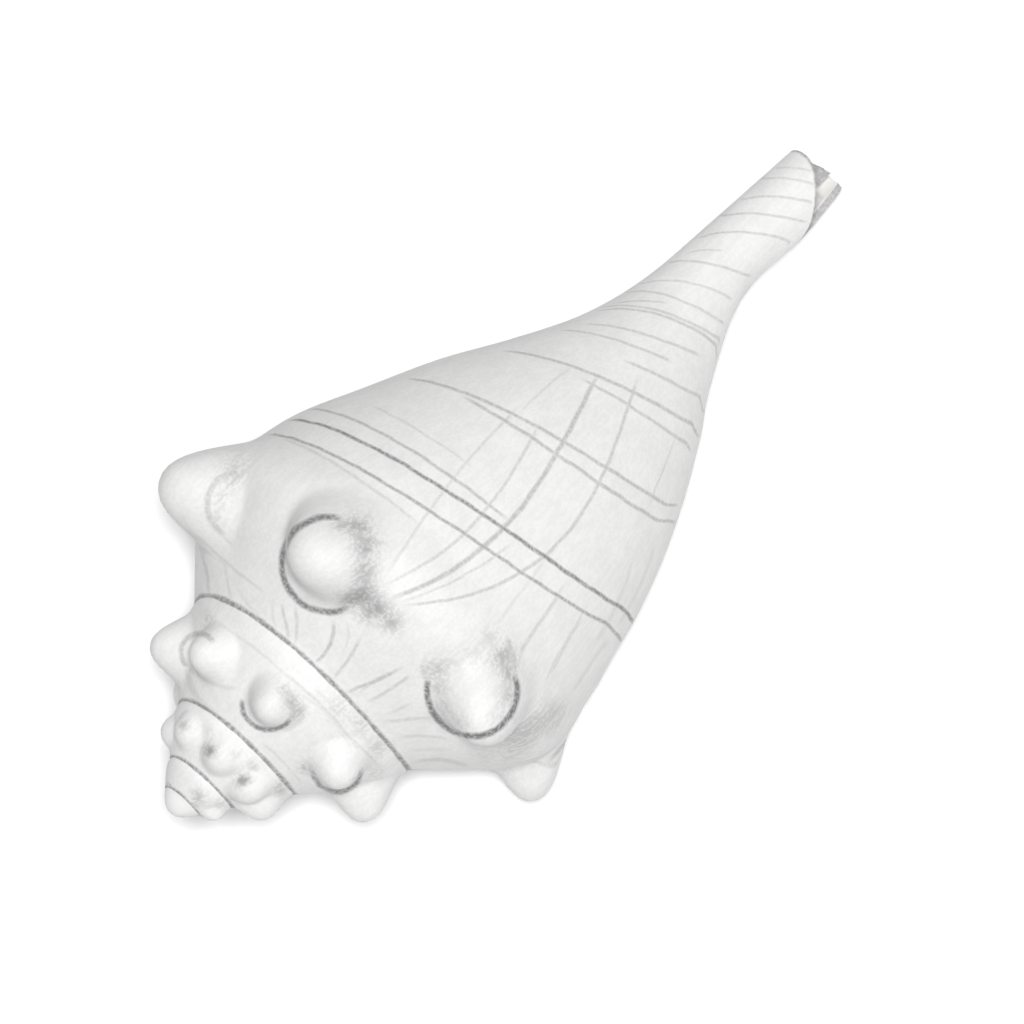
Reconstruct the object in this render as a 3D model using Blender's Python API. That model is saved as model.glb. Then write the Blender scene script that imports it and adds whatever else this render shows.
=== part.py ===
"""A knobbed whelk shell, lying on its mouth, in metres with +Z up.

The shell is one piece. Its outside is a spiral strip round an axis: each column of the strip is a profile that
runs from the suture over the shoulder, and on the last turn on down to the tip of the siphonal canal. The whorls
share their sutures, so the strip is one skin. The mouth is a real hollow that follows the last whorl inwards.
Profiles are worked out in millimetres as (radius, distance from the apex along the axis).
"""

import math

import bmesh
import bpy
import numpy as np

NODE_NAME = "shell"
MM = 0.001

# Growth: each turn is this many times the one before, measured from a point just above the apex.
TURN_GROWTH = 1.85
APEX_SETBACK = 3.84
FIRST_TURN = -4.0
LIP_AZIMUTH = 120.0
CANAL_WRAP = 50.0

# Radius and distance from the apex of the suture and of the shoulder at the lip, and how far each leans sideways.
SUTURE_RADIUS, SUTURE_RADIUS_LEAN = 31.8, 0.133
SUTURE_DOWN, SUTURE_DOWN_LEAN = 46.9, 0.067
SHOULDER_RADIUS, SHOULDER_RADIUS_LEAN = 51.4, 0.134
SHOULDER_DOWN, SHOULDER_DOWN_LEAN = 69.7, 0.084
LAST_WHORL_TUCK = 0.16

# The body below the shoulder as (distance from the apex, radius): older side, younger side and pillar.
OLDER_SIDE = [
    (50, 40.0),
    (65.5, 39.0),
    (81.2, 32.7),
    (100.2, 24.3),
    (116.2, 15.6),
    (128, 10.9),
    (152.6, 8.0),
    (182, 6.3),
]
YOUNGER_SIDE = [
    (60, 43.9),
    (76.8, 39.9),
    (96.2, 34.4),
    (116.9, 24.8),
    (127.3, 18.6),
    (139, 11.1),
    (150.7, 6.6),
    (167, 7.0),
    (182, 6.2),
]
PILLAR = [
    (36, 27.5),
    (40.3, 28.1),
    (50, 26.5),
    (62, 22.0),
    (75, 16.0),
    (90, 11.0),
    (105, 8.0),
    (120, 6.0),
    (140, 4.2),
    (182, 2.4),
]

# The canal's end, which is cut back on the side that faces up.
CANAL_END = 179.8
CANAL_CUT_BACK = 14.3
CANAL_ROUNDING = 3.0

# Knobs as (degrees back from the lip, height, distance that the foot sits above the shoulder).
KNOBS = [
    (-17, 7.6, 0.0),
    (-78, 9.6, 0.6),
    (-139, 10.6, 2.0),
    (-192, 11.4, 4.6),
    (-250, 3.2, 0.0),
    (-297, 4.2, 0.0),
    (-342, 4.8, 0.0),
    (-386, 6.2, 0.0),
    (-433, 5.6, 0.8),
    (-482, 5.8, 2.4),
    (-526, 5.8, 3.0),
    (-568, 6.6, 3.0),
]
EARLY_KNOB_GAP = 46.0
EARLY_KNOB_SHARE = 0.6
KNOB_FOOT = 1.2
KNOB_LEAN = 40.0
DOME_HEIGHT = 0.9

# Walls.
WALL = 2.2
CANAL_WALL = 1.5
CHANNEL_TURNS = 0.5
HOLLOW_TURNS = 0.8

# Points round a turn of the outside. The last shoulder has FINER times as many, the mouth one in COARSER.
COLUMNS = 60
FINER = 2
COARSER = 2
SPIRE_ROWS = [0, 0.2, 0.42, 0.62, 0.8, 0.95, 1.1, 1.3, 1.6, 2]
BODY_ROWS = [2.27, 2.7, 3.2, 3.8, 4.4, 5, 5.6, 6.2, 6.8, 7.4, 8, 8.6, 9.3, 10]
LEVELS = [0.08, 0.18, 0.3, 0.42, 0.54, 0.68, 0.84, 1.0]
CHANNEL_ROW = 6.2

# How it lies: turned about its own axis, then the apex end raised.
REST_ROLL = 10.88
REST_PITCH = 9.76


def ease(x):
    x = np.clip(x, 0, 1)
    return x * x * (3 - 2 * x)


def through(points, at):
    """The smooth curve through evenly numbered points, read at the given numbers."""
    points = [2 * points[0] - points[1], *points, 2 * points[-1] - points[-2]]
    start = np.clip(np.floor(at).astype(int), 0, len(points) - 4)
    t = at - start
    p = np.broadcast_arrays(*points)
    stack = np.stack(p)
    a, b, c, d = (np.take_along_axis(stack, (start + k)[None], 0)[0] for k in range(4))
    return 0.5 * (2 * b + (c - a) * t + (2 * a - 5 * b + 4 * c - d) * t**2 + (3 * b - a - 3 * c + d) * t**3)


def outline(points, z):
    """A radius at each distance z, on the smooth curve through an outline's points."""
    zs, rs = np.array(points, float).T
    slopes = np.gradient(rs, zs)
    i = np.clip(np.searchsorted(zs, z) - 1, 0, len(zs) - 2)
    h = zs[i + 1] - zs[i]
    t = np.clip((z - zs[i]) / h, 0, 1)
    return (
        (2 * t**3 - 3 * t**2 + 1) * rs[i]
        + (t**3 - 2 * t**2 + t) * h * slopes[i]
        + (3 * t**2 - 2 * t**3) * rs[i + 1]
        + (t**3 - t**2) * h * slopes[i + 1]
    )


def azimuth(turn):
    return LIP_AZIMUTH + 360 * turn


def growth_line(turn, radius, radius_lean, down, down_lean):
    side = np.sin(np.radians(azimuth(turn)))
    grown = TURN_GROWTH**turn
    return radius * grown * (1 - radius_lean * side), down * grown * (1 - down_lean * side) - APEX_SETBACK


def suture(turn):
    r, z = growth_line(turn, SUTURE_RADIUS, SUTURE_RADIUS_LEAN, SUTURE_DOWN, SUTURE_DOWN_LEAN)
    return r * (1 - LAST_WHORL_TUCK * ease(turn / 0.45)), z


def shoulder(turn):
    return growth_line(turn, SHOULDER_RADIUS, SHOULDER_RADIUS_LEAN, SHOULDER_DOWN, SHOULDER_DOWN_LEAN)


def lip_azimuth(z):
    """Where the lip stands round the axis. The canal wraps further round than the mouth."""
    return LIP_AZIMUTH + CANAL_WRAP * ease((z - 95) / 50)


def canal_end(around):
    """How far down the canal reaches at each azimuth."""
    around = (around + 180) % 360 - 180
    near = CANAL_CUT_BACK * np.clip((around + 75) / 160, 0, 1) ** 1.6
    rounded = CANAL_ROUNDING * np.clip(-np.sin(np.radians(around)), 0, 1) ** 2
    return CANAL_END - rounded - near * (1 - ease((around - 92) / 30))


def wall_radius(turn, z):
    """The outside's radius below the shoulder: the pillar at one end of the turn, the lip at the other."""
    lip = lip_azimuth(z)
    around = lip + 360 * turn
    pillar, older, younger = (outline(p, z) for p in (PILLAR, OLDER_SIDE, YOUNGER_SIDE))
    under = (around - (lip - 360)) / (270 - lip)
    station = np.where(around < -90, 2 * under, 2 + (around + 90) / 90)
    stations = [
        pillar,
        pillar + 0.72 * (older - pillar),
        older,
        0.505 * (older + younger),
        younger,
        younger * 1.01,
    ]
    return through([np.asarray(s, float) for s in stations], station)


def profile(turn):
    """The profile's control points at each turn: suture, shoulder, next suture, then on to the canal's end."""
    s, h, n = (np.stack(p) for p in (suture(turn), shoulder(turn), suture(turn + 1)))
    levels = []
    at = np.maximum(turn, -1)
    r, z = suture(at + 1)
    end = canal_end(lip_azimuth(150) + 360 * at)
    for level in LEVELS:
        down = z + level * (end - z)
        fade = np.clip(1 - level / 0.25, 0, 1) ** 2
        out = wall_radius(at, down) + fade * (r - wall_radius(at, z))
        levels.append(n + np.stack([out - r, down - z]) * TURN_GROWTH ** (turn - at))
    return [s, h, n, *levels]


def outside(turn, rows):
    """(radius, distance) of the outside without knobs, as an array of turns by rows by 2."""
    points = profile(turn)
    at = np.array(rows, float)[:, None, None] * np.ones((1, 2, len(turn)))
    return np.stack([through(points, a) for a in at]).transpose(2, 0, 1)


def in_space(rz, turn):
    """To x along the axis, y to the side and z up, with the lip's plane at turn zero."""
    angle = np.radians(lip_azimuth(rz[..., 1]) + 360 * turn)
    return np.stack([rz[..., 1], -rz[..., 0] * np.sin(angle), rz[..., 0] * np.cos(angle)], -1)


def all_knobs():
    """Each knob's turn, height, foot radius and rise: first the chosen ones, then lower ones up the spire."""
    for degrees, height, rise in KNOBS:
        yield degrees / 360, height, KNOB_FOOT * height, rise
    degrees, height, rise = KNOBS[-1]
    while degrees > 360 * (FIRST_TURN + 1):
        degrees -= EARLY_KNOB_GAP
        size = height * TURN_GROWTH ** ((degrees - KNOBS[-1][0]) / 360)
        yield degrees / 360, size * EARLY_KNOB_SHARE, KNOB_FOOT * size, rise * size / height


def knobbed(points, turn):
    """The outside with its knobs: each is a blunt thumb on the shoulder that leans towards the apex."""
    lean = math.radians(KNOB_LEAN)
    for knob, height, foot, rise in all_knobs():
        r, z = shoulder(knob)
        base = in_space(np.array([float(r), float(z) - rise]), knob)
        away = in_space(np.array([float(r) + math.cos(lean), float(z) - rise - math.sin(lean)]), knob) - base
        off = np.linalg.norm(points - base, axis=-1) / foot
        near = (np.abs(turn - knob) < 0.25) & (off < 1)
        lift = np.where(near, (1 - np.minimum(off, 1) ** 2.6) ** 2, 0) * height
        points = points + lift[..., None] * away
    return points


def inside_wall(turn, rows):
    """The mouth's outer wall: the outside moved in by the shell's thickness."""
    rz = outside(turn, rows)
    along = np.gradient(rz, axis=1)
    along /= np.linalg.norm(along, axis=-1, keepdims=True)
    inward = np.stack([-along[..., 1], along[..., 0]], -1)
    grown = np.maximum(TURN_GROWTH**turn, 0.6)[:, None]
    thick = WALL * grown + (CANAL_WALL - WALL * grown) * ease((rz[..., 1] - 95) / 35)
    return rz + inward * thick[..., None]


def inside_pillar(turn, rows):
    """The mouth's inner wall: the last whorl's start, which shrinks with the whorl as it winds back in."""
    start = outside(np.array([-1.0]), rows)[0]
    (r0, z0), (r1, z1) = suture(0.0), suture(turn)
    low = ease((start[:, 1] - 60) / 60)[None]
    deep = (-turn / CHANNEL_TURNS)[:, None]
    wide = (r1 / r0)[:, None]
    tall = ((z1 + APEX_SETBACK) / (z0 + APEX_SETBACK))[:, None]
    end = canal_end(lip_azimuth(150) + 360 * turn)[:, None]
    share = np.clip((start[None, :, 1] - z0) / (start[-1, 1] - z0), 0, 1) ** 2
    r = start[None, :, 0] * ((1 - low) * wide + low * (1 - 0.7 * ease(deep)))
    scaled = (start[None, :, 1] + APEX_SETBACK) * tall - APEX_SETBACK
    z = (1 - low) * scaled + low * (start[None, :, 1] + share * (end - start[-1, 1]))
    return np.stack([r, z], -1)


class Skin:
    """Points and faces gathered into one closed mesh."""

    def __init__(self):
        self.points = []
        self.faces = []

    def add(self, points):
        """Numbers for a new block of points, in the block's own shape."""
        flat = np.reshape(points, (-1, 3))
        first = len(self.points)
        self.points.extend(flat.tolist())
        return np.arange(first, first + len(flat)).reshape(points.shape[:-1])

    def join(self, one, other):
        """Faces between two lines of points. A corner that both lines share makes a triangle."""
        for a, b, c, d in zip(one[:-1], one[1:], other[1:], other[:-1]):
            corners = list(dict.fromkeys(int(v) for v in (a, b, c, d)))
            if len(corners) > 2:
                self.faces.append(corners)

    def join_all(self, lines):
        for one, other in zip(lines[:-1], lines[1:]):
            self.join(one, other)


def repeated(line, times):
    """A line of points drawn out so that it can be joined to one with that many times the steps."""
    return line[np.arange((len(line) - 1) * times + 1) // times]


def outer_skin(skin):
    """The outside. Gives the spire's, the last shoulder's and the body's point numbers as columns of rows."""
    seam = len(SPIRE_ROWS) - 1
    turn = np.arange(round(FIRST_TURN * COLUMNS), 1 - COLUMNS) / COLUMNS
    spire = skin.add(knobbed(in_space(outside(turn, SPIRE_ROWS), turn[:, None]), turn[:, None]))
    spire[COLUMNS:, 0] = spire[:-COLUMNS, seam]
    turn = np.arange(-COLUMNS, 1) / COLUMNS
    body = skin.add(in_space(outside(turn, [2] + BODY_ROWS), turn[:, None]))
    body[0, 0] = spire[-1, seam]
    turn = np.arange(-COLUMNS * FINER, 1) / (COLUMNS * FINER)
    band = skin.add(knobbed(in_space(outside(turn, SPIRE_ROWS), turn[:, None]), turn[:, None]))
    band[0] = spire[-1]
    band[:, 0] = repeated(spire[-COLUMNS - 1 :, seam], FINER)
    band[:, seam] = repeated(body[:, 0], FINER)
    for lines in (spire, band, body):
        skin.join_all(lines)
    return spire, band, body


def apex_dome(skin, spire):
    """The open start of the spiral closed with a small dome."""
    edge = np.concatenate([spire[: COLUMNS + 1, 0], spire[0, -2::-1]])
    rim = np.array([skin.points[v] for v in edge])
    top = rim[0, 0] - DOME_HEIGHT
    for share in (0.7, 0.35):
        ring = rim * [0, share, share]
        ring[:, 0] = top + (rim[:, 0] - top) * share**2
        ring = skin.add(ring[:-1])
        ring = np.append(ring, ring[0])
        skin.join(edge, ring)
        edge = ring
    point = skin.add(np.array([[top, 0.0, 0.0]]))
    skin.join(edge, np.repeat(point, len(edge)))


def mouth(skin, band, body):
    """The hollow from the lip back into the last whorl, the lip itself and the canal's cut end."""
    rows = SPIRE_ROWS + BODY_ROWS
    seam = len(SPIRE_ROWS) - 1
    steps = COLUMNS // COARSER
    deep = -np.arange(round(HOLLOW_TURNS * steps) + 1) / steps
    channel = round(CHANNEL_TURNS * steps)
    wall = skin.add(in_space(inside_wall(deep, rows), deep[:, None]))
    pillar = skin.add(in_space(inside_pillar(deep, rows[seam:])[:, 1:], deep[:, None]))
    pillar[0] = body[0, 1:]
    wall[:, 0] = pillar[:, 0]
    floor = rows.index(CHANNEL_ROW)
    step = floor - seam - 1
    skin.join_all(wall[: channel + 1])
    skin.join_all(pillar[: channel + 1])
    skin.join_all(wall[channel:, : floor + 1])
    skin.join_all(pillar[channel:, : step + 1])
    skin.join(wall[channel:, floor], pillar[channel:, step])
    skin.join(wall[channel, floor:], pillar[channel, step:])
    blind = np.concatenate([np.repeat(pillar[-1, :1], seam + 1), pillar[-1, : step + 1]])
    skin.join(wall[-1, : floor + 1], blind)
    skin.join(np.concatenate([band[-1, :seam], body[-1]]), wall[0])
    end = body[:, -1]
    half = channel * COARSER
    skin.join(end[::-1][: half + 1], repeated(wall[: channel + 1, -1], COARSER))
    skin.join(end[: half + 1], repeated(pillar[: channel + 1, -1], COARSER))
    skin.faces.append([int(v) for v in (end[half], wall[channel, -1], pillar[channel, -1])])


def shell_skin():
    skin = Skin()
    spire, band, body = outer_skin(skin)
    apex_dome(skin, spire)
    mouth(skin, band, body)
    return skin


def at_rest(points):
    """Rolls the shell onto its mouth, lifts the apex end and sets it down centred on the origin, in metres."""
    roll, pitch = math.radians(REST_ROLL), math.radians(REST_PITCH)
    x, y, z = np.array(points).T
    y, z = y * math.cos(roll) - z * math.sin(roll), y * math.sin(roll) + z * math.cos(roll)
    x, z = x * math.cos(pitch) + z * math.sin(pitch), -x * math.sin(pitch) + z * math.cos(pitch)
    points = np.stack([x, y, z], -1)
    low, high = points.min(0), points.max(0)
    return (points - [(low[0] + high[0]) / 2, (low[1] + high[1]) / 2, low[2]]) * MM


def shell_material():
    material = bpy.data.materials.new("shell")
    material.use_nodes = True
    shader = material.node_tree.nodes["Principled BSDF"]
    shader.inputs["Base Color"].default_value = (0.78, 0.78, 0.77, 1)
    shader.inputs["Roughness"].default_value = 0.55
    return material


def build_shell():
    skin = shell_skin()
    mesh = bpy.data.meshes.new(NODE_NAME)
    mesh.from_pydata(at_rest(skin.points).tolist(), [], skin.faces)
    work = bmesh.new()
    work.from_mesh(mesh)
    loose = [v for v in work.verts if not v.link_faces]
    bmesh.ops.delete(work, geom=loose, context="VERTS")
    bmesh.ops.recalc_face_normals(work, faces=work.faces)
    bmesh.ops.triangulate(work, faces=work.faces)
    work.to_mesh(mesh)
    work.free()
    mesh.materials.append(shell_material())
    shell = bpy.data.objects.new(NODE_NAME, mesh)
    bpy.context.scene.collection.objects.link(shell)


for old in list(bpy.data.objects):
    bpy.data.objects.remove(old, do_unlink=True)
build_shell()
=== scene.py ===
"""A knobbed whelk shell lying on its mouth, as a pencil study shows it: chalky white with drawn grey lines.

Lengths are in millimetres round the shell's own axis, with x from the apex to the canal's end, until the mesh
is laid at rest, where they become metres.
"""

import math

import bmesh
import bpy
import numpy as np
from mathutils import Matrix, Vector


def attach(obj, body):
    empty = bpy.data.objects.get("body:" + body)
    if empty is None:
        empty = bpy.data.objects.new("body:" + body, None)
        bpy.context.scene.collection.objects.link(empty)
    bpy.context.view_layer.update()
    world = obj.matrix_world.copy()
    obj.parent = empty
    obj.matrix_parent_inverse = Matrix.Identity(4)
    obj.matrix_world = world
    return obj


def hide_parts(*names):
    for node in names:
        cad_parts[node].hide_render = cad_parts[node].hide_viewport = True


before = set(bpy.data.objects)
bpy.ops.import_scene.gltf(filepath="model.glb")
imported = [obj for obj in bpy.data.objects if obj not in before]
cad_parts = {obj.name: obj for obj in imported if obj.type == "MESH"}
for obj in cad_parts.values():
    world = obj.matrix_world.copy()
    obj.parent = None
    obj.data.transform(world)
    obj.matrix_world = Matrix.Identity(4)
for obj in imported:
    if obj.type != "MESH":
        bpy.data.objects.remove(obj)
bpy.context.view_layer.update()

# The shell. It is one limy tube, wound to the right round an axis. The snail laid it down at the lip, so
# every profile is the last one grown larger, and the knobs are where the lip once flared. Its surface is
# chalky, with fine spiral cords, growth lines and a dark suture where the whorls meet.

TURN_GROWTH = 1.85
APEX_SETBACK = 3.84
FIRST_TURN = -4.0
LIP_AZIMUTH = 120.0
CANAL_START, CANAL_WRAP, WRAPPED_OVER = 95, 50.0, 50
CANAL_TIP, CANAL_CUT_BACK, CANAL_ROUNDED = 179.8, 14.3, 3.0

# Radius, its lean to one side, distance down and its lean, of the suture and the shoulder at turn 0.
SUTURE = (31.8, 0.133, 46.9, 0.067)
SHOULDER = (51.4, 0.134, 69.7, 0.084)
SUTURE_DRAWN_IN, DRAWN_IN_OVER = 0.16, 0.45

# Outlines below the shoulder, each as distances down and radii.
OLDER_SIDE = [
    (50, 40.0), (65.5, 39.0), (81.2, 32.7), (100.2, 24.3), (116.2, 15.6), (128, 10.9), (152.6, 8.0), (182, 6.3),
]
YOUNGER_SIDE = [
    (60, 43.9), (76.8, 39.9), (96.2, 34.4), (116.9, 24.8), (127.3, 18.6), (139, 11.1), (150.7, 6.6),
    (167, 7.0), (182, 6.2),
]
PILLAR = [
    (36, 27.5), (40.3, 28.1), (50, 26.5), (62, 22.0), (75, 16.0), (90, 11.0), (105, 8.0), (120, 6.0),
    (140, 4.2), (182, 2.4),
]

# Knobs: degrees round from the lip, height, and distance from the shoulder towards the
# apex. The early ones are the last one, shrunk.
KNOBS = [
    (-17, 7.6, 0.0), (-78, 9.6, 0.6), (-139, 10.6, 2.0), (-192, 11.4, 4.6), (-250, 3.2, 0.0), (-297, 4.2, 0.0),
    (-342, 4.8, 0.0), (-386, 6.2, 0.0), (-433, 5.6, 0.8), (-482, 5.8, 2.4), (-526, 5.8, 3.0), (-568, 6.6, 3.0),
]
KNOB_STEP, EARLY_KNOB_HEIGHT, KNOB_FOOT = 46, 0.6, 1.2
KNOB_LEAN = math.radians(40)
KNOB_REACH = 0.25

LEVELS = [0.08, 0.18, 0.3, 0.42, 0.54, 0.68, 0.84, 1.0]
LIP_WALL, CANAL_WALL, LEAST_WALL_SHARE = 2.2, 1.5, 0.6
CHANNEL_TURNS, HOLLOW_TURNS, CHANNEL_ROW = 0.5, 0.8, 6.2
PARTING_ROW = 3
DOME_HEIGHT = 0.9
COLUMNS = 300
SPIRE_ROWS = np.linspace(0, 2, 25)
BODY_ROWS = np.linspace(2, 10, 65)


def ease(x):
    """3 x^2 - 2 x^3 between 0 and 1, and level outside."""
    x = np.clip(x, 0, 1)
    return x * x * (3 - 2 * x)


def through(points, at):
    """Catmull-Rom curve through evenly numbered points. Between b and c, with a before them and d after, it
    is (2 b + (c - a) t + (2 a - 5 b + 4 c - d) t^2 + (3 b - a - 3 c + d) t^3) / 2."""
    stack = np.stack(np.broadcast_arrays(2 * points[0] - points[1], *points, 2 * points[-1] - points[-2]))
    start = np.clip(np.floor(at).astype(int), 0, len(stack) - 4)
    t = at - start
    a, b, c, d = (np.take_along_axis(stack, (start + k)[None], 0)[0] for k in range(4))
    return 0.5 * (2 * b + (c - a) * t + (2 * a - 5 * b + 4 * c - d) * t**2 + (3 * b - a - 3 * c + d) * t**3)


def outline(points, z):
    """Radius at distance z: the cubic Hermite curve through an outline's points."""
    zs, rs = np.array(points, float).T
    slopes = np.gradient(rs, zs)
    i = np.clip(np.searchsorted(zs, z) - 1, 0, len(zs) - 2)
    h = zs[i + 1] - zs[i]
    t = np.clip((z - zs[i]) / h, 0, 1)
    start = (2 * t**3 - 3 * t**2 + 1) * rs[i] + (t**3 - 2 * t**2 + t) * h * slopes[i]
    return start + (3 * t**2 - 2 * t**3) * rs[i + 1] + (t**3 - t**2) * h * slopes[i + 1]


def spiral(turn, radius, radius_lean, down, down_lean):
    """r = R w^turn (1 - e sin a), z = Z w^turn (1 - f sin a) - setback, with a the azimuth at that turn."""
    side = np.sin(np.radians(LIP_AZIMUTH + 360 * turn))
    grown = TURN_GROWTH**turn
    return radius * grown * (1 - radius_lean * side), down * grown * (1 - down_lean * side) - APEX_SETBACK


def suture(turn):
    """The spiral where whorls meet. After turn 0, where the next whorl isn't built yet,
    it is drawn in a little."""
    r, z = spiral(turn, *SUTURE)
    return r * (1 - SUTURE_DRAWN_IN * ease(turn / DRAWN_IN_OVER)), z


def shoulder(turn):
    return spiral(turn, *SHOULDER)


def lip_azimuth(z):
    """Where the lip's edge stands: it wraps further round as it runs down into the canal."""
    return LIP_AZIMUTH + CANAL_WRAP * ease((z - CANAL_START) / WRAPPED_OVER)


def canal_end(around):
    """How far down the canal reaches at each azimuth: it is cut back on the side that faces up."""
    around = (around + 180) % 360 - 180
    near = CANAL_CUT_BACK * np.clip((around + 75) / 160, 0, 1) ** 1.6
    rounded = CANAL_ROUNDED * np.clip(-np.sin(np.radians(around)), 0, 1) ** 2
    return CANAL_TIP - rounded - near * (1 - ease((around - 92) / 30))


def wall_radius(turn, z):
    """Radius below the shoulder, blended round the turn from the pillar by the older
    side to the younger one."""
    lip = lip_azimuth(z)
    around = lip + 360 * turn
    pillar, older, younger = (outline(p, z) for p in (PILLAR, OLDER_SIDE, YOUNGER_SIDE))
    hidden = (around - (lip - 360)) / (270 - lip)
    station = np.where(around < -90, 2 * hidden, 2 + (around + 90) / 90)
    under = pillar + 0.72 * (older - pillar)
    middle = 0.505 * (older + younger)
    return through([pillar, under, older, middle, younger, younger * 1.01], station)


def outside(turn, rows):
    """(radius, distance) at each turn and row. Row 0 is the suture, 1 the shoulder, 2 the next suture and the
    rest run down the body by LEVELS. Before the last turn only the first two rows show."""
    s, h, n = (np.stack(p) for p in (suture(turn), shoulder(turn), suture(turn + 1)))
    at = np.maximum(turn, -1)
    r, z = suture(at + 1)
    end = canal_end(LIP_AZIMUTH + CANAL_WRAP + 360 * at)
    points = [s, h, n]
    for level in LEVELS:
        down = z + level * (end - z)
        out = wall_radius(at, down) + np.clip(1 - level / 0.25, 0, 1) ** 2 * (r - wall_radius(at, z))
        points.append(n + np.stack([out - r, down - z]) * TURN_GROWTH ** (turn - at))
    row = np.array(rows, float)[:, None, None] * np.ones((1, 2, len(turn)))
    return np.stack([through(points, a) for a in row]).transpose(2, 0, 1)


def in_space(rz, turn):
    """x = z, y = -r sin a, height = r cos a, with a the lip's azimuth at z plus 360 turn."""
    angle = np.radians(lip_azimuth(rz[..., 1]) + 360 * turn)
    return np.stack([rz[..., 1], -rz[..., 0] * np.sin(angle), rz[..., 0] * np.cos(angle)], -1)


def all_knobs():
    """(turn, height, foot's radius, rise) of each knob: the set ones, then evenly on to
    the apex as they shrink."""
    for degrees, height, rise in KNOBS:
        yield degrees / 360, height, KNOB_FOOT * height, rise
    degrees, height, rise = KNOBS[-1]
    while degrees > 360 * (FIRST_TURN + 1):
        degrees -= KNOB_STEP
        size = height * TURN_GROWTH ** ((degrees - KNOBS[-1][0]) / 360)
        yield degrees / 360, size * EARLY_KNOB_HEIGHT, KNOB_FOOT * size, rise * size / height


def knobbed(points, turn):
    """Adds h (1 - (d / f)^2.6)^2 along each knob's own direction, which leans to the
    apex, within its foot f."""
    for knob, height, foot, rise in all_knobs():
        r, z = (float(v) for v in shoulder(knob))
        base = in_space(np.array([r, z - rise]), knob)
        tip = np.array([r + math.cos(KNOB_LEAN), z - rise - math.sin(KNOB_LEAN)])
        away = in_space(tip, knob) - base
        off = np.linalg.norm(points - base, axis=-1) / foot
        near = (np.abs(turn - knob) < KNOB_REACH) & (off < 1)
        lift = np.where(near, (1 - np.minimum(off, 1) ** 2.6) ** 2, 0) * height
        points = points + lift[..., None] * away
    return points


def inside_wall(turn, rows):
    """The outside moved in along its normal by the wall's thickness, which thins with
    the turns and in the canal."""
    rz = outside(turn, rows)
    along = np.gradient(rz, axis=1)
    along /= np.linalg.norm(along, axis=-1, keepdims=True)
    inward = np.stack([-along[..., 1], along[..., 0]], -1)
    mouth_wall = LIP_WALL * np.maximum(TURN_GROWTH**turn, LEAST_WALL_SHARE)[:, None]
    thick = mouth_wall + (CANAL_WALL - mouth_wall) * ease((rz[..., 1] - CANAL_START) / 35)
    return rz + inward * thick[..., None]


def inside_pillar(turn, rows):
    """The last whorl's first profile, shrunk towards the apex as it winds back in, and
    kept level in the canal."""
    start = outside(np.array([-1.0]), rows)[0]
    (r0, z0), (r1, z1) = suture(0.0), suture(turn)
    low = ease((start[:, 1] - 60) / 60)[None]
    end = canal_end(LIP_AZIMUTH + CANAL_WRAP + 360 * turn)[:, None]
    share = np.clip((start[None, :, 1] - z0) / (start[-1, 1] - z0), 0, 1) ** 2
    thin = 1 - 0.7 * ease(-turn / CHANNEL_TURNS)[:, None]
    r = start[None, :, 0] * ((1 - low) * (r1 / r0)[:, None] + low * thin)
    shrunk = (z1 + APEX_SETBACK) / (z0 + APEX_SETBACK)
    scaled = (start[None, :, 1] + APEX_SETBACK) * shrunk[:, None] - APEX_SETBACK
    z = (1 - low) * scaled + low * (start[None, :, 1] + share * (end - start[-1, 1]))
    return np.stack([r, z], -1)


ROLL, PITCH = math.radians(10.88), math.radians(9.76)
TURNED = np.array(Matrix.Rotation(PITCH, 3, "Y") @ Matrix.Rotation(ROLL, 3, "X"))
SET_DOWN = np.array([87.9934, -0.7542, -41.5380])
MILLIMETRE, LIFTED = 0.000997, 0.00008


def at_rest(points):
    """World place in metres of points given round the shell's own axis. The millimetre is a hair short and
    the shell a hair lifted, so that its skin stays inside the CAD's box."""
    return (points @ TURNED.T - SET_DOWN) * MILLIMETRE + np.array([0, 0, LIFTED])


# The drawing sees the shell's back from 11 degrees to the apex's side. Along and across
# are its own directions.
TILT = math.radians(11)
ALONG = np.array([math.cos(TILT), 0, math.sin(TILT)])
ACROSS = np.array([0, -1, 0])
BACK = np.array([-math.sin(TILT), 0, math.cos(TILT)])

# How dark the even grain of pencil is, and how strong the strokes of painted shade are.
PENCIL_TONE, SHADE_STROKE_STRENGTH = 0.07, 1.25
LINES_KEPT = 3

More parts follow.
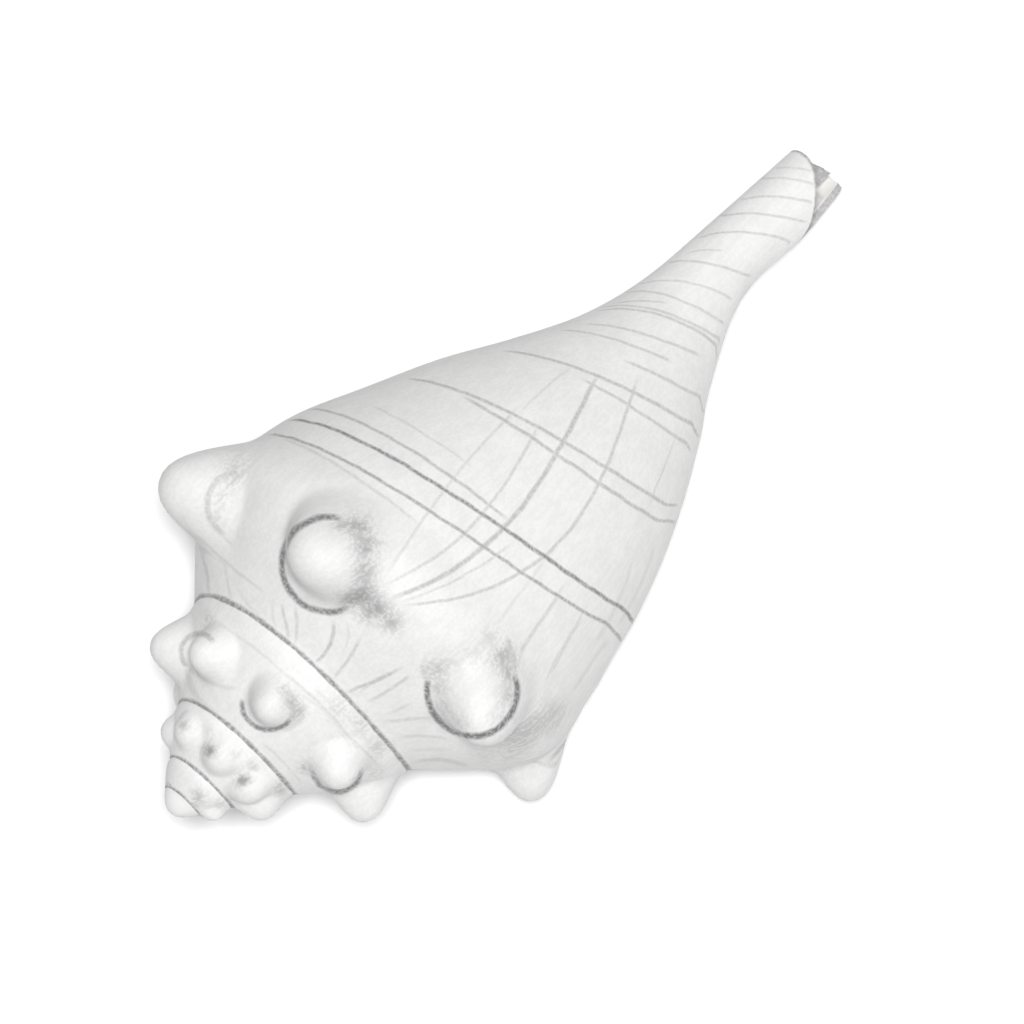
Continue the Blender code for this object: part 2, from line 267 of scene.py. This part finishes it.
# Spiral cords: distance down at azimuths -60, 0 and 60, azimuths where the line starts
# and stops, darkness, width.
CORDS = [
    (72.7, 78.1, 84.0, -74, 8, 0.42, 0.45),
    (68.3, 75.6, 85.8, -72, 84, 0.72, 0.5),
    (62.8, 70.1, 81.6, -70, 84, 0.55, 0.45),
    (62.0, 66.0, 71.0, -60, -8, 0.22, 0.5),
    (78.0, 82.3, 88.0, -52, -10, 0.2, 0.4),
    (88.7, 97.8, 107.3, -60, 72, 0.42, 0.5),
    (90.0, 94.9, 104.0, -32, 78, 0.42, 0.5),
    (103.9, 114.7, 122.9, -50, 76, 0.4, 0.5),
    (105.0, 112.3, 119.1, -8, 68, 0.34, 0.45),
    (111.0, 120.7, 128.0, 0, 78, 0.34, 0.45),
    (115.8, 124.7, 132.0, -50, 22, 0.3, 0.45),
    (118.5, 128.4, 135.0, -42, 44, 0.3, 0.45),
    (125.5, 134.0, 138.0, -56, 74, 0.34, 0.45),
    (127.3, 134.9, 139.4, -60, 66, 0.3, 0.45),
    (128.0, 137.5, 141.0, -54, -14, 0.28, 0.4),
    (133.4, 138.8, 142.4, -66, 56, 0.28, 0.4),
    (136.6, 143.7, 147.0, -68, 44, 0.26, 0.4),
    (143.7, 149.3, 153.5, -66, 50, 0.3, 0.45),
    (146.0, 153.5, 158.0, -54, -16, 0.24, 0.4),
    (151.3, 159.0, 163.4, -62, 66, 0.3, 0.45),
    (157.9, 164.0, 169.0, -74, 50, 0.3, 0.45),
    (162.9, 168.9, 173.5, -70, 30, 0.28, 0.45),
    (168.9, 173.4, 177.0, -80, 14, 0.24, 0.45),
    (172.0, 176.0, 179.0, -66, -8, 0.22, 0.4),
]

# Growth lines: azimuth at distances 60, 80 and 100 down, distances where the line
# starts and stops, darkness, width.
GROWTH = [
    (-6.0, -12.0, -17.0, 55, 97, 0.22, 0.45),
    (0.5, 1.5, -8.0, 53, 97, 0.28, 0.45),
    (5.5, 9.3, 4.0, 52, 113, 0.42, 0.6),
    (12.5, 24.5, 24.0, 53, 119, 0.34, 0.5),
    (8.0, 15.0, 15.0, 53, 76, 0.24, 0.4),
    (39.0, 35.5, 32.0, 61, 79, 0.22, 0.45),
    (55.0, 48.0, 44.0, 64, 80, 0.22, 0.45),
    (5.0, -7.0, -15.0, 97, 112, 0.2, 0.4),
    (50.0, 50.0, 49.5, 104, 117, 0.22, 0.45),
]

# Strokes of painted shade on the shell's back, as hatching and as dark arcs at the knobs' edges: distances
# along and across of a start, a middle and an end, darkness, width.
PAINTED_SHADE_STROKES = [
    (62.2, -16.8, 48.5, -19.0, 51.4, -3.7, 0.62, 0.75),
    (52.3, 16.6, 51.2, 30.4, 64.7, 27.3, 0.66, 0.75),
    (64.7, 27.3, 67.2, 24.3, 68.5, 21.3, 0.28, 0.70),
    (53.7, 13.7, 52.7, 15.1, 52.0, 16.9, 0.25, 0.70),
    (54.3, -37.6, 46.2, -37.1, 44.0, -30.4, 0.26, 0.80),
    (28.3, -17.4, 22.7, -20.9, 21.1, -17.4, 0.34, 0.70),
    (21.1, -17.4, 22.3, -12.4, 25.0, -7.8, 0.14, 0.60),
    (21.1, -17.4, 18.5, -12.5, 19.1, -6.5, 0.16, 0.90),
    (24.2, -5.5, 23.6, 1.6, 28.3, 3.4, 0.58, 0.60),
    (28.3, 3.4, 30.6, 2.4, 31.6, -1.1, 0.30, 0.90),
    (24.1, 13.5, 24.9, 20.0, 31.0, 19.8, 0.55, 0.60),
    (2.7, -4.5, 2.7, -0.4, 3.8, 3.2, 0.36, 0.50),
    (41.3, -39.1, 39.3, -33.5, 40.6, -25.2, 0.10, 0.45),
    (39.9, -34.8, 40.6, -25.2, 41.7, -17.3, 0.16, 0.45),
    (38.3, -31.1, 36.3, -27.7, 33.4, -23.8, 0.20, 0.45),
    (40.2, -26.5, 37.9, -23.4, 36.1, -20.2, 0.14, 0.45),
    (38.8, -21.6, 37.9, -17.6, 38.2, -14.6, 0.12, 0.45),
    (42.7, -15.1, 40.0, -13.2, 38.9, -10.8, 0.12, 0.45),
    (42.7, -13.3, 40.8, -10.2, 38.7, -7.4, 0.22, 0.45),
    (44.1, -11.0, 41.6, -8.1, 39.1, -6.0, 0.18, 0.45),
    (47.2, -3.8, 43.9, -1.3, 39.4, -0.8, 0.30, 0.45),
    (49.3, -2.3, 47.7, -0.2, 43.9, 1.8, 0.12, 0.45),
    (48.2, 2.0, 44.4, 3.2, 40.3, 3.6, 0.24, 0.45),
    (49.8, 11.2, 44.8, 9.5, 40.3, 7.7, 0.30, 0.45),
    (50.3, 13.5, 45.3, 12.6, 41.7, 11.7, 0.22, 0.45),
    (49.4, 11.3, 46.3, 9.9, 41.5, 9.1, 0.20, 0.40),
    (47.2, 17.5, 45.4, 16.9, 42.0, 15.7, 0.16, 0.45),
    (47.4, 22.1, 43.8, 18.9, 40.4, 16.0, 0.18, 0.45),
    (47.4, 27.7, 44.6, 24.2, 40.4, 20.4, 0.16, 0.45),
    (45.7, 28.7, 42.7, 26.1, 39.9, 23.3, 0.12, 0.45),
    (45.9, 34.9, 43.2, 29.5, 39.1, 26.0, 0.20, 0.50),
    (44.8, -33.6, 43.8, -31.2, 43.8, -27.7, 0.14, 0.45),
    (80.9, 22.7, 74.7, 23.8, 68.2, 25.2, 0.20, 0.50),
    (80.7, 28.9, 75.3, 30.3, 69.6, 32.1, 0.18, 0.50),
    (81.7, 35.4, 76.0, 36.5, 70.3, 37.6, 0.14, 0.50),
    (84.0, 16.1, 76.3, 17.1, 69.2, 18.2, 0.12, 0.50),
    (95.9, 27.9, 88.6, 31.4, 80.1, 33.9, 0.12, 0.50),
    (101.0, 28.9, 93.6, 32.4, 85.2, 34.8, 0.12, 0.50),
    (31.4, -19.0, 33.2, -9.3, 33.9, -0.6, 0.13, 0.45),
    (33.9, -2.1, 34.4, 6.2, 33.4, 16.6, 0.18, 0.45),
    (35.7, 2.9, 36.3, 10.3, 35.5, 17.1, 0.14, 0.45),
    (33.7, 13.7, 34.0, 19.1, 33.5, 23.3, 0.18, 0.45),
    (21.2, 2.9, 21.5, 7.8, 21.0, 13.5, 0.14, 0.45),
    (33.0, 0.8, 33.9, 9.2, 32.7, 15.3, 0.12, 0.45),
]

# Patches of painted shade on the back, mostly beside the knobs and as dark dots on the early whorls: distances
# along and across of the middle, radius, darkness.
PAINTED_SHADE_PATCHES = [
    (63.4, -13.4, 2.1, 0.50), (61.9, -9.6, 2.1, 0.50), (58.5, -6.7, 2.1, 0.42), (55.2, -3.7, 2.3, 0.50),
    (52.0, -4.8, 1.9, 0.40), (55.4, 0.2, 2.1, 0.45), (55.1, 4.0, 1.9, 0.40), (52.8, -0.4, 1.7, 0.30),
    (61.4, -15.9, 1.3, 0.30), (52.9, -37.2, 1.9, 0.34), (49.1, -36.0, 1.9, 0.18), (45.5, -33.8, 1.5, 0.18),
    (55.8, -38.3, 2.5, 0.14), (54.1, 15.7, 1.9, 0.32), (52.8, 19.0, 1.5, 0.30), (57.0, 17.2, 2.3, 0.14),
    (61.6, 19.0, 2.3, 0.12), (66.3, 19.0, 1.9, 0.16), (66.1, 23.3, 1.9, 0.40), (64.0, 26.5, 1.7, 0.40),
    (60.7, 29.5, 1.7, 0.32), (63.8, 23.1, 1.9, 0.16), (50.6, 22.3, 1.3, 0.22), (51.1, 26.7, 1.5, 0.20),
    (56.5, 30.8, 1.5, 0.20), (65.4, 38.4, 2.5, 0.24), (58.5, 36.6, 3.1, 0.28), (55.3, 37.4, 2.5, 0.22),
    (62.6, 40.0, 2.3, 0.18), (52.3, 38.4, 1.9, 0.24), (48.9, 35.1, 1.9, 0.18), (48.0, 39.1, 1.5, 0.14),
    (62.0, 36.5, 2.3, 0.15), (30.1, -21.3, 1.7, 0.20), (31.0, 1.3, 1.5, 0.40), (30.4, 3.6, 1.3, 0.32),
    (31.5, -1.3, 1.2, 0.30), (28.8, 20.8, 1.0, 0.34), (23.6, 12.0, 1.3, 0.32), (36.5, 8.2, 2.7, 0.16),
    (37.3, 13.7, 1.9, 0.22), (36.3, 18.9, 1.9, 0.24), (32.3, 22.0, 1.9, 0.18), (13.1, -3.0, 1.3, 0.55),
    (13.3, 5.1, 1.3, 0.50), (14.3, 6.0, 1.2, 0.30), (12.8, -10.1, 1.2, 0.34), (15.4, -5.5, 1.2, 0.14),
    (16.9, 4.8, 1.2, 0.20), (16.3, 1.0, 1.0, 0.12), (17.3, 11.4, 1.5, 0.34), (5.0, 1.5, 1.5, 0.34),
    (7.1, 5.7, 1.2, 0.20),
]


def between(value, start, stop, soft):
    """1 between start and stop, and eased to 0 over a length soft across each of them."""
    return ease((value - start) / soft + 0.5) * ease((stop - value) / soft + 0.5)


def at_row(table, rows, row):
    """A grid's values at one row, straight between its two neighbours."""
    i = min(int(np.searchsorted(rows, row, side="right")) - 1, len(rows) - 2)
    share = (row - rows[i]) / (rows[i + 1] - rows[i])
    return table[:, i : i + 1] * (1 - share) + table[:, i + 1 : i + 2] * share


def down_profile(rz):
    """Distance down each profile from its first point: the running sum of its steps."""
    step = np.linalg.norm(np.diff(rz, axis=1), axis=-1)
    return np.concatenate([np.zeros((len(rz), 1)), np.cumsum(step, 1)], 1)


def outward(points):
    """Unit normals of a grid: the cross product of its two gradients, turned away from the axis."""
    normal = np.cross(np.gradient(points, axis=0), np.gradient(points, axis=1))
    normal /= np.maximum(np.linalg.norm(normal, axis=-1, keepdims=True), 1e-9)
    return normal * np.sign((normal[..., 1:] * points[..., 1:]).sum(-1).mean())


def cord_lines(rz, turn, rows):
    """Distance below each cord: z - m - t (h - l) / 2 - t^2 ((h + l) / 2 - m), with t
    the azimuth / 60. Past t = 1 either way a cord keeps to one row of the profile, and
    goes on round the hidden side more faintly."""
    z = rz[..., 1]
    azimuth = lip_azimuth(z) + 360 * turn[:, None]
    t = azimuth / 60
    for low, middle, high, start, stop, dark, width in CORDS:
        line = middle + t * (high - low) / 2 + t**2 * ((high + low) / 2 - middle)
        for end, way in ((low, -1), (high, 1)):
            column = int(np.argmin(np.abs(lip_azimuth(end) + 360 * turn - 60 * way)))
            row = np.interp(end, z[column], rows)
            line = np.where(t * way > 1, at_row(z, rows, row), line)
        hidden = between(azimuth, -205, -96, 22) + between(azimuth, 94, 175, 16)
        yield z - line, dark * np.maximum(between(azimuth, start, stop, 10), 0.6 * hidden), width


def growth_lines(rz, turn):
    """Distance round from each growth line: (azimuth - p) r, with p bent through its three azimuths. The same
    lines come again, more faintly, on the sides that the drawing doesn't show."""
    z = rz[..., 1]
    azimuth = lip_azimuth(z) + 360 * turn[:, None]
    t = (z - 80) / 20
    for low, middle, high, start, stop, dark, width in GROWTH:
        line = middle + t * (high - low) / 2 + t**2 * ((high + low) / 2 - middle)
        for moved, share in ((0, 1.0), (-110, 0.7), (-178, 0.6), (82, 0.7)):
            shown = 1.0 if moved == 0 else 1 - between(azimuth, -80, 80, 14)
            offset = (azimuth - line - moved) * np.radians(rz[..., 0])
            yield offset, dark * share * shown * between(z, start, stop, 6), width


def painted_shade_hatching(points, facing):
    """Strokes of painted shade: distance outside the circle through a stroke's three points, seen square on
    from the shell's back, and only between its two ends: the turn from its middle times the radius tells how
    far along a place is."""
    place = points @ ALONG + 1j * (points @ ACROSS)
    for ax, ay, bx, by, cx, cy, dark, width in PAINTED_SHADE_STROKES:
        a, b, c = complex(ax, ay), complex(bx, by), complex(cx, cy)
        w = (c - a) / (b - a) + 1e-4j
        centre = (b - a) * (w - abs(w) ** 2) / (2j * w.imag) + a
        radius = abs(a - centre)
        start, end, here = (np.angle((p - centre) / (b - centre)) * radius for p in (a, c, place))
        drawn = between(here, min(start, end), max(start, end), 1.6)
        yield np.abs(place - centre) - radius, SHADE_STROKE_STRENGTH * dark * facing * drawn, width


def painted_shade_tone(points, facing):
    """Painted shade: sum of s exp(-(d / r)^2) for every patch, with d the distance from it seen from the
    shell's back.
    """
    along, across = points @ ALONG, points @ ACROSS
    tone = 0
    for a, b, radius, dark in PAINTED_SHADE_PATCHES:
        tone = tone + dark * np.exp(-((along - a) ** 2 + (across - b) ** 2) / radius**2)
    return tone * facing


def painted_shade_rings(points, turn):
    """A ring of painted shade round the foot of each knob that the drawing doesn't show, darker on the side
    away from the apex: distance from a ball round its middle."""
    for knob, height, foot, rise in all_knobs():
        r, z = (float(v) for v in shoulder(knob))
        middle = in_space(np.array([r, z - rise]), knob)
        if middle @ BACK < -12 and knob > -1.7:
            off = np.linalg.norm(points - middle, axis=-1)
            below = ease((points[..., 0] - middle[0]) / (0.5 * foot) + 0.4)
            yield off - 0.82 * foot, 0.4 * below * (np.abs(turn - knob) < KNOB_REACH), 0.05 * foot + 0.3


def pencil(points, rz, turn, rows, seam):
    """All the lines of an outside grid, as (distance, darkness, half width), and its tone. The lines are the
    suture, cords and growth lines, and strokes and rings of painted shade; the tone is patches of painted shade
    over an even pencil grain. A suture runs along the first row, and along the last one or the seam."""
    facing = outward(points) @ BACK
    shown = ease((facing - 0.04) / 0.2)
    along = down_profile(rz)
    early = np.clip(TURN_GROWTH ** (turn + 1), 0.3, 1)[:, None]
    lines = [(along, 0.7 + 0 * along, 0.5 + 0.35 * early)]
    lines += [*painted_shade_hatching(points, shown), *painted_shade_rings(points, turn[:, None])]
    if len(rows) > seam + 1:
        lines += [*cord_lines(rz, turn, rows), *growth_lines(rz, turn)]
        lines.append((along[:, -1:] - along, 0.6 + 0 * along, 0.55))
    else:
        lines.append((along[:, seam:] - along, 0.7 + 0 * along, 0.2 + 0.2 * early))
    # The tone is patches of painted shade over an even pencil grain.
    return lines, painted_shade_tone(points, ease(facing / 0.5)) + PENCIL_TONE


def fine_ribs(rz, rows):
    """Faint spiral ribs inside the mouth: distance down the profile from each of an even run of rows."""
    along = down_profile(rz)
    for row in np.arange(rows[0] + 0.2, rows[-1], 0.3):
        yield along - at_row(along, rows, row), 0.16 + 0 * along, 0.5


def corners(table):
    """The values of a grid at the four corners of each of its faces."""
    return np.stack([table[:-1, :-1], table[1:, :-1], table[1:, 1:], table[:-1, 1:]], -1)


def nearest_lines(lines, shape):
    """For each face, the lines that pass nearest to it, each as (distance, darkness,
    half width) at its corners. The distance keeps its sign, so that it runs straight
    through 0 inside a face. A darker line counts as nearer."""
    faces = LINES_KEPT, shape[0] - 1, shape[1] - 1
    found, score = np.tile([9.0, 0.0, 0.5], (*faces, 4, 1)), np.full(faces, 8.0)
    for line in lines:
        marks = np.stack([corners(np.broadcast_to(part, shape)) for part in line], -1)
        off, (dark, width) = marks[..., 0], (marks[..., k].max(-1) for k in (1, 2))
        gap = np.where(np.ptp(np.sign(off), -1) > 0, 0, np.abs(off).min(-1))
        reach = np.where(dark > 0.01, gap - width - 0.6 * dark, 9)
        for k in range(LINES_KEPT):
            nearer = reach < score[k]
            found[k], marks = np.where(nearer[..., None, None], (marks, found[k]), (found[k], marks))
            score[k], reach = np.where(nearer, (reach, score[k]), (score[k], reach))
    return found


class Skin:
    """Grids of points, each with its lines, its tone and its slot, gathered and welded
    into one closed mesh."""

    def __init__(self):
        self.points, self.lines, self.tones, self.faces, self.slots = [], [], [], [], []
        self.count = 0

    def grid(self, points, lines=(), tone=0.0, slot=0):
        u, v = points.shape[:2]
        ids = np.arange(self.count, self.count + u * v).reshape(u, v)
        self.points.append(points.reshape(-1, 3))
        self.lines.append(nearest_lines(lines, (u, v)).reshape(LINES_KEPT, -1, 3))
        self.tones.append(np.broadcast_to(tone, (u, v)).ravel())
        self.faces.append(corners(ids).reshape(-1, 4))
        self.slots.append(np.full((u - 1) * (v - 1), slot, np.int32))
        self.count += u * v

    def mesh(self, name):
        mesh = bpy.data.meshes.new(name)
        places, faces = at_rest(np.concatenate(self.points)), np.concatenate(self.faces)
        mesh.from_pydata(places.tolist(), [], faces.tolist())
        mesh.polygons.foreach_set("material_index", np.concatenate(self.slots))
        tone = mesh.attributes.new("tone", "FLOAT", "POINT")
        tone.data.foreach_set("value", np.concatenate(self.tones).astype(np.float32))
        for k, marks in enumerate(np.concatenate(self.lines, 1)):
            line = mesh.attributes.new(f"line_{k}", "FLOAT_VECTOR", "CORNER")
            line.data.foreach_set("vector", marks.astype(np.float32).ravel())
        work = bmesh.new()
        work.from_mesh(mesh)
        bmesh.ops.remove_doubles(work, verts=work.verts, dist=1e-6)
        bmesh.ops.recalc_face_normals(work, faces=work.faces)
        work.to_mesh(mesh)
        work.free()
        mesh.polygons.foreach_set("use_smooth", np.ones(len(mesh.polygons), bool))
        mesh.set_sharp_from_angle(angle=math.radians(50))
        return mesh


def lines_between(one, other, steps=1):
    """A grid that runs straight from one line of points to another."""
    share = np.linspace(0, 1, steps + 1)[:, None, None]
    return one[None] * (1 - share) + other[None] * share


def shell_mesh():
    """The outside in two grids, the dome at the apex, the hollow's wall and pillar, and
    the edges between them."""
    skin = Skin()

    turn = np.arange(round(FIRST_TURN * COLUMNS), 1 - COLUMNS) / COLUMNS
    rz = outside(turn, SPIRE_ROWS)
    spire = knobbed(in_space(rz, turn[:, None]), turn[:, None])
    seam = len(SPIRE_ROWS) - 1
    spire[COLUMNS:, 0] = spire[:-COLUMNS, seam]
    skin.grid(spire, *pencil(spire, rz, turn, SPIRE_ROWS, seam))
    rows = np.concatenate([SPIRE_ROWS, BODY_ROWS[1:]])
    turn = np.arange(-COLUMNS, 1) / COLUMNS
    rz = outside(turn, rows)
    body = knobbed(in_space(rz, turn[:, None]), turn[:, None])
    body[:, 0] = spire[-COLUMNS - 1 :, seam]
    body[0, : seam + 1] = spire[-1]
    skin.grid(body, *pencil(body, rz, turn, rows, seam))

    rim = np.concatenate([spire[: COLUMNS + 1, 0], spire[0, -2::-1]])
    top = rim[0, 0] - DOME_HEIGHT
    share = np.linspace(1, 0, 9)[:, None]
    dome = rim[None] * np.array([0, 1, 1]) * share[..., None]
    dome[..., 0] = top + (rim[None, :, 0] - top) * share**2
    skin.grid(dome)

    deep = -np.arange(round(HOLLOW_TURNS * COLUMNS) + 1) / COLUMNS
    channel = round(CHANNEL_TURNS * COLUMNS)
    floor = int(np.argmin(np.abs(rows - CHANNEL_ROW)))
    wall_rz, pillar_rz = inside_wall(deep, rows), inside_pillar(deep, rows[seam:])
    wall, pillar = in_space(wall_rz, deep[:, None]), in_space(pillar_rz, deep[:, None])
    first = PARTING_ROW
    pillar[0] = body[0, seam:]
    wall[:, : first + 1] = pillar[:, first : first + 1]
    for turns, last in ((slice(None, channel + 1), len(rows)), (slice(channel, None), floor + 1)):
        part = turns, slice(first, last)
        skin.grid(wall[part], fine_ribs(wall_rz[part], rows[first:last]), slot=1)
        part = turns, slice(first, last - seam)
        skin.grid(pillar[part], fine_ribs(pillar_rz[part], rows[seam + first : last]), slot=1)
    skin.grid(lines_between(wall[channel:, floor], pillar[channel:, floor - seam]), slot=1)
    skin.grid(lines_between(wall[channel, floor:], pillar[channel, floor - seam :]), slot=1)
    inmost = pillar[-1]
    blind = np.concatenate([np.repeat(inmost[first : first + 1], seam + 1, 0), inmost[1 : floor - seam + 1]])
    blind[seam + 1 : seam + first] = inmost[first]
    skin.grid(lines_between(wall[-1, : floor + 1], blind), slot=1)

    skin.grid(lines_between(body[-1], wall[0]), slot=1)
    start = body[0, seam : seam + first + 1]
    skin.grid(lines_between(start, np.repeat(start[:1], first + 1, 0)))
    end = body[:, -1]
    edge = [(0.0, 0.5, 1.0)]
    skin.grid(lines_between(end[::-1][: channel + 1], wall[: channel + 1, -1]), edge)
    skin.grid(lines_between(end[: channel + 1], pillar[: channel + 1, -1]), edge)
    corner = np.stack([end[channel], wall[channel, -1]])
    skin.grid(lines_between(corner, np.repeat(pillar[channel, -1][None], 2, 0)), slot=1)
    return skin.mesh("shell_skin")


shell = bpy.data.objects.new("shell_skin", shell_mesh())
bpy.context.scene.collection.objects.link(shell)
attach(shell, "root")
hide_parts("shell")


class Value:
    """A socket that can be reckoned with: the operators add Math nodes."""

    def __init__(self, graph, socket):
        self.graph, self.socket = graph, socket

    def math(self, operation, *others):
        return self.graph.math(operation, self, *others)

    def __add__(self, other):
        return self.math("ADD", other)

    def __sub__(self, other):
        return self.math("SUBTRACT", other)

    def __mul__(self, other):
        return self.math("MULTIPLY", other)

    def __truediv__(self, other):
        return self.math("DIVIDE", other)

    def __rsub__(self, other):
        return self.graph.math("SUBTRACT", other, self)

    def __rtruediv__(self, other):
        return self.graph.math("DIVIDE", other, self)

    __radd__, __rmul__ = __add__, __mul__

    def size(self):
        return self.math("ABSOLUTE")

    def most(self, other):
        return self.math("MAXIMUM", other)

    def least(self, other):
        return self.math("MINIMUM", other)

    def ramp(self, start, end, low=0.0, high=1.0):
        """low at start and high at end, eased between."""
        settings = {"interpolation_type": "SMOOTHSTEP"}
        inputs = {"Value": self, "From Min": start, "From Max": end, "To Min": low, "To Max": high}
        return self.graph.node("ShaderNodeMapRange", settings, inputs)


class Graph:
    """A material and its nodes."""

    def __init__(self, name):
        self.material = bpy.data.materials.new(name)
        self.material.use_nodes = True
        self.tree = self.material.node_tree
        self.shader = self.tree.nodes["Principled BSDF"]

    def node(self, kind, settings=None, inputs=None, output=0):
        node = self.tree.nodes.new(kind)
        for key, value in (settings or {}).items():
            setattr(node, key, value)
        for key, value in (inputs or {}).items():
            self.feed(node.inputs[key], value)
        return Value(self, node.outputs[output])

    def feed(self, socket, value):
        if isinstance(value, Value):
            self.tree.links.new(value.socket, socket)
        else:
            socket.default_value = value

    def math(self, operation, *values):
        return self.node("ShaderNodeMath", {"operation": operation}, dict(enumerate(values)))

    def place(self):
        return self.node("ShaderNodeTexCoord", None, None, "Object")

    def attribute(self, name, output):
        return self.node("ShaderNodeAttribute", {"attribute_name": name}, None, output)

    def parts(self, vector):
        split = self.tree.nodes.new("ShaderNodeSeparateXYZ")
        self.feed(split.inputs[0], vector)
        return [Value(self, out) for out in split.outputs]

    def noise(self, vector, scale=1.0, detail=2.0):
        return self.node("ShaderNodeTexNoise", None, {"Vector": vector, "Scale": scale, "Detail": detail})

    def mix(self, share, one, other):
        """One colour turned into the other by a share. A Mix node's colours are its
        inputs 6 and 7 and its output 2."""
        return self.node("ShaderNodeMix", {"data_type": "RGBA"}, {0: share, 6: one, 7: other}, 2)


LIME = (0.73, 0.73, 0.725, 1.0)
LINING = (0.72, 0.715, 0.7, 1.0)
GRAPHITE = (0.05, 0.05, 0.052, 1.0)
LIME_ROUGHNESS, LINING_ROUGHNESS = 0.7, 0.35
BUMP_HEIGHT = 0.0002


def shell_surface():
    """Chalky lime under graphite: the darker of the kept lines, which hold strokes and rings of painted shade
    beside the shell's own lines, and the tone, which is patches of painted shade over an even grain, both
    broken by grain, with faint clouds."""
    g = Graph("shell")
    place = g.place()
    grain = g.noise(place, 1500.0, 2.0)
    chalk = g.noise(place, 220.0, 3.0)
    wander = (chalk - 0.5) * 0.7
    marks_and_painted_shade = None
    for k in range(LINES_KEPT):
        off, dark, width = g.parts(g.attribute(f"line_{k}", "Vector"))
        drawn = ((off + wander).size() / width).ramp(0.2, 1.4, 1.0, 0.0) * dark
        marks_and_painted_shade = drawn if marks_and_painted_shade is None else marks_and_painted_shade.most(drawn)
    marks_and_painted_shade = marks_and_painted_shade * grain.ramp(0.3, 0.62, 0.62, 1.0)
    # The tone attribute is patches of painted shade over an even pencil grain.
    tone = g.attribute("tone", "Fac")
    turned = {"Vector": place, "Rotation": Matrix(TURNED).to_euler(), "Scale": (0.012, 0.0009, 0.0009)}
    hatch = g.noise(g.node("ShaderNodeMapping", {"vector_type": "TEXTURE"}, turned), 1.0, 2.0)
    rough = (grain + hatch).ramp(0.85, 1.15, 0.2, 1.0)
    marks_and_painted_shade = marks_and_painted_shade.most(tone * (tone + rough).least(1.0)) + chalk.ramp(0.35, 0.7, 0.04, 0.0)
    g.feed(g.shader.inputs["Base Color"], g.mix(marks_and_painted_shade, LIME, GRAPHITE))
    g.feed(g.shader.inputs["Roughness"], LIME_ROUGHNESS)
    bump = g.node("ShaderNodeBump", None, {"Strength": 0.35, "Distance": BUMP_HEIGHT, "Height": chalk})
    g.feed(g.shader.inputs["Normal"], bump)
    return g.material


def mouth_surface():
    """The smoother lining, clouded a little and lined by its ribs."""
    g = Graph("mouth")
    cloud = g.noise(g.place(), 60.0, 3.0)
    off, dark, width = g.parts(g.attribute("line_0", "Vector"))
    rib = (off.size() / width).ramp(0.2, 1.4, 1.0, 0.0) * dark
    shade = rib + cloud.ramp(0.35, 0.7, 0.0, 0.16)
    g.feed(g.shader.inputs["Base Color"], g.mix(shade, LINING, GRAPHITE))
    g.feed(g.shader.inputs["Roughness"], LINING_ROUGHNESS)
    bump = g.node("ShaderNodeBump", None, {"Strength": 0.3, "Distance": BUMP_HEIGHT, "Height": cloud})
    g.feed(g.shader.inputs["Normal"], bump)
    return g.material


shell.data.materials.append(shell_surface())
shell.data.materials.append(mouth_surface())

# The paper. The drawing's plain white ground, laid flat under the shell.

PAPER = (0.97, 0.97, 0.97, 1.0)
PAPER_HALF = 3
sheet = [(x * PAPER_HALF, y * PAPER_HALF, 0) for x, y in ((-1, -1), (1, -1), (1, 1), (-1, 1))]
paper_mesh = bpy.data.meshes.new("paper")
paper_mesh.from_pydata(sheet, [], [(0, 1, 2, 3)])
paper = bpy.data.objects.new("paper", paper_mesh)
bpy.context.scene.collection.objects.link(paper)
paper_look = Graph("paper")
paper_look.feed(paper_look.shader.inputs["Base Color"], PAPER)
paper_look.feed(paper_look.shader.inputs["Roughness"], 0.9)
paper_mesh.materials.append(paper_look.material)

# The camera. It looks down on the shell's back through a long lens, with the apex a
# little nearer, and is rolled as the drawing lies.

DISTANCE, SEEN_WIDTH, SENSOR_WIDTH = 2.4, 0.1966, 36
ROLL_COSINE, ROLL_SINE = 0.7109, 0.7033
right = TURNED @ (ROLL_COSINE * ALONG + ROLL_SINE * ACROSS)
up = TURNED @ (ROLL_SINE * ALONG - ROLL_COSINE * ACROSS)
back = TURNED @ BACK
aim = at_rest(86.0 * ALONG + 5.1 * ACROSS - 16.0 * BACK)
camera_data = bpy.data.cameras.new("camera")
camera_data.sensor_width = SENSOR_WIDTH
camera_data.lens = SENSOR_WIDTH * DISTANCE / SEEN_WIDTH
camera_data.clip_end = 20
camera = bpy.data.objects.new("camera", camera_data)
bpy.context.scene.collection.objects.link(camera)
placed = Matrix.Identity(4)
for column, axis in enumerate((right, up, back)):
    placed.col[column].xyz = axis
placed.translation = Vector(aim + back * DISTANCE)
camera.matrix_world = placed
bpy.context.scene.camera = camera

# The light. Soft white from all round and a broad lamp near the camera, so that surfaces go grey only where
# they turn away, as in a drawing, and the shell hides most of its own shadow.

LAMP_DISTANCE, LAMP_RAISED = 2.8, 0.1
world = bpy.data.worlds.new("room")
bpy.context.scene.world = world
world.use_nodes = True
world.node_tree.nodes["Background"].inputs["Color"].default_value = (1, 1, 1, 1)
world.node_tree.nodes["Background"].inputs["Strength"].default_value = 0.18
lamp_data = bpy.data.lights.new("lamp", "AREA")
lamp_data.shape = "DISK"
lamp_data.size = 0.7
lamp_data.energy = 93
lamp = bpy.data.objects.new("lamp", lamp_data)
bpy.context.scene.collection.objects.link(lamp)
lamp.location = Vector(aim + back * LAMP_DISTANCE + up * LAMP_RAISED)
lamp.rotation_euler = (Vector(aim) - lamp.location).to_track_quat("-Z", "Y").to_euler()

scene = bpy.context.scene
scene.view_settings.view_transform = "Standard"
scene.view_settings.look = "None"
